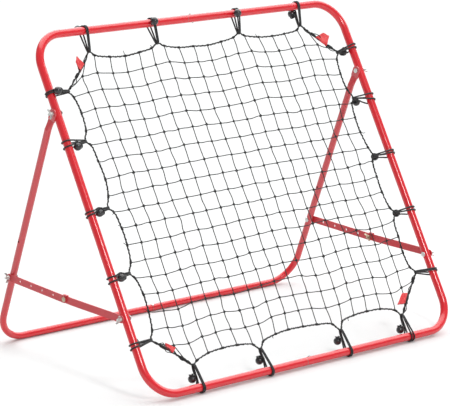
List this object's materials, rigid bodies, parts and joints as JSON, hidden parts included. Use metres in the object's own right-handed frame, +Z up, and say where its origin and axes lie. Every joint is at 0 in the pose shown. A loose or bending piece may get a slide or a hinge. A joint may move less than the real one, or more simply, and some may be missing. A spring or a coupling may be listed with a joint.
{
  "type": "pitch back rebounder",
  "caption": "Leaning tubular frame with a knotted net held by ball bungees, a hinged rear stand and adjustable flat braces, for sending a thrown ball back.",
  "frame": {"origin": "centre of the footprint box on the floor, under the part", "axes": "+Z up, +X along the width, the net faces -Y and up"},
  "size_m": [1.1246, 0.6876, 0.8803],
  "materials": {
    "frame_paint": "glossy red powder coat",
    "stand_paint": "glossy red powder coat",
    "brace_paint": "red powder coat on flat strip",
    "bolt_zinc": "zinc plated",
    "wing_nut_zinc": "zinc plated",
    "net_black": "knotted black twine",
    "rope_black": "twisted black cord",
    "bungee_black": "black ball and braided elastic cord",
    "tag_red": "red woven tape"
  },
  "bodies": {
    "front_frame": {"frame_tube_top_left": "frame_paint", "frame_tube_top_right": "frame_paint", "frame_tube_side_left": "frame_paint", "frame_tube_side_right": "frame_paint", "frame_tube_bottom_left": "frame_paint", "frame_tube_bottom_right": "frame_paint", "rail_screw_top": "bolt_zinc", "rail_screw_bottom": "bolt_zinc", "pivot_bolt_left": "bolt_zinc", "pivot_bolt_right": "bolt_zinc", "front_brace_bolt_left": "bolt_zinc", "front_brace_bolt_right": "bolt_zinc", "net_panel": "net_black", "net_border_rope": "rope_black", "corner_tag_top_left": "tag_red", "corner_tag_top_right": "tag_red", "corner_tag_bottom_left": "tag_red", "corner_tag_bottom_right": "tag_red", "bungee_top_1": "bungee_black", "bungee_top_2": "bungee_black", "bungee_top_3": "bungee_black", "bungee_top_4": "bungee_black", "bungee_left_1": "bungee_black", "bungee_left_2": "bungee_black", "bungee_left_3": "bungee_black", "bungee_left_4": "bungee_black", "bungee_left_5": "bungee_black", "bungee_right_1": "bungee_black", "bungee_right_2": "bungee_black", "bungee_right_3": "bungee_black", "bungee_right_4": "bungee_black", "bungee_right_5": "bungee_black", "bungee_bottom_1": "bungee_black", "bungee_bottom_2": "bungee_black", "bungee_bottom_3": "bungee_black", "bungee_bottom_4": "bungee_black"},
    "rear_stand": {"leg_left": "stand_paint", "leg_right": "stand_paint", "stand_tube_left": "stand_paint", "stand_tube_right": "stand_paint", "bar_screw": "bolt_zinc", "rear_brace_bolt_left": "bolt_zinc", "rear_brace_bolt_right": "bolt_zinc"},
    "front_strip_left": {"brace_front_strip_left": "brace_paint", "adjust_thread_left": "bolt_zinc"},
    "front_strip_right": {"brace_front_strip_right": "brace_paint", "adjust_bolt_right": "bolt_zinc"},
    "rear_strip_left": {"brace_rear_strip_left": "brace_paint", "adjust_bolt_left": "bolt_zinc"},
    "rear_strip_right": {"brace_rear_strip_right": "brace_paint", "adjust_thread_right": "bolt_zinc"},
    "pivot_wing_nut_left": {"pivot_wing_nut_left": "wing_nut_zinc"},
    "pivot_wing_nut_right": {"pivot_wing_nut_right": "wing_nut_zinc"},
    "front_brace_wing_nut_left": {"front_brace_wing_nut_left": "wing_nut_zinc"},
    "front_brace_wing_nut_right": {"front_brace_wing_nut_right": "wing_nut_zinc"},
    "rear_brace_wing_nut_left": {"rear_brace_wing_nut_left": "wing_nut_zinc"},
    "rear_brace_wing_nut_right": {"rear_brace_wing_nut_right": "wing_nut_zinc"},
    "adjust_wing_nut_left": {"adjust_wing_nut_left": "wing_nut_zinc"},
    "adjust_wing_nut_right": {"adjust_wing_nut_right": "wing_nut_zinc"}
  },
  "joints": [
    {"name": "stand_fold", "type": "hinge", "parent": "front_frame", "child": "rear_stand", "pos_m": [0, 0.07563, 0.67751], "axis": [1, 0, 0], "range_deg": [-17.5, 0]},
    {"name": "front_strip_left_swing", "type": "hinge", "parent": "front_frame", "child": "front_strip_left", "pos_m": [-0.52055, -0.21666, 0.19866], "axis": [1, 0, 0], "range_deg": [-6, 0]},
    {"name": "rear_strip_left_swing", "type": "hinge", "parent": "rear_stand", "child": "rear_strip_left", "pos_m": [-0.53695, 0.25836, 0.20565], "axis": [1, 0, 0], "range_deg": [0, 13]},
    {"name": "front_strip_right_swing", "type": "hinge", "parent": "front_frame", "child": "front_strip_right", "pos_m": [0.53545, -0.21666, 0.19866], "axis": [1, 0, 0], "range_deg": [-6, 0]},
    {"name": "rear_strip_right_swing", "type": "hinge", "parent": "rear_stand", "child": "rear_strip_right", "pos_m": [0.51905, 0.25836, 0.20565], "axis": [1, 0, 0], "range_deg": [0, 13]},
    {"name": "pivot_wing_nut_left_turn", "type": "hinge", "parent": "front_frame", "child": "pivot_wing_nut_left", "pos_m": [-0.53935, 0.07563, 0.67751], "axis": [-1, 0, 0], "continuous": true},
    {"name": "pivot_wing_nut_right_turn", "type": "hinge", "parent": "front_frame", "child": "pivot_wing_nut_right", "pos_m": [0.55045, 0.07563, 0.67751], "axis": [1, 0, 0], "continuous": true},
    {"name": "front_brace_wing_nut_left_turn", "type": "hinge", "parent": "front_frame", "child": "front_brace_wing_nut_left", "pos_m": [-0.53885, -0.21666, 0.19866], "axis": [-1, 0, 0], "continuous": true},
    {"name": "front_brace_wing_nut_right_turn", "type": "hinge", "parent": "front_frame", "child": "front_brace_wing_nut_right", "pos_m": [0.55375, -0.21666, 0.19866], "axis": [1, 0, 0], "continuous": true},
    {"name": "rear_brace_wing_nut_left_turn", "type": "hinge", "parent": "rear_stand", "child": "rear_brace_wing_nut_left", "pos_m": [-0.55375, 0.25836, 0.20565], "axis": [-1, 0, 0], "continuous": true},
    {"name": "rear_brace_wing_nut_right_turn", "type": "hinge", "parent": "rear_stand", "child": "rear_brace_wing_nut_right", "pos_m": [0.53585, 0.25836, 0.20565], "axis": [1, 0, 0], "continuous": true},
    {"name": "adjust_wing_nut_left_turn", "type": "hinge", "parent": "front_strip_left", "child": "adjust_wing_nut_left", "pos_m": [-0.53975, 0.00839, 0.20197], "axis": [1, 0, 0], "continuous": true},
    {"name": "adjust_wing_nut_right_turn", "type": "hinge", "parent": "rear_strip_right", "child": "adjust_wing_nut_right", "pos_m": [0.52465, 0.00839, 0.20197], "axis": [-1, 0, 0], "continuous": true}
  ],
  "couplings": [
    {"joint": "front_strip_left_swing", "follows": "stand_fold", "ratio": 0.311},
    {"joint": "rear_strip_left_swing", "follows": "stand_fold", "ratio": -0.689},
    {"joint": "front_strip_right_swing", "follows": "stand_fold", "ratio": 0.311},
    {"joint": "rear_strip_right_swing", "follows": "stand_fold", "ratio": -0.689}
  ]
}
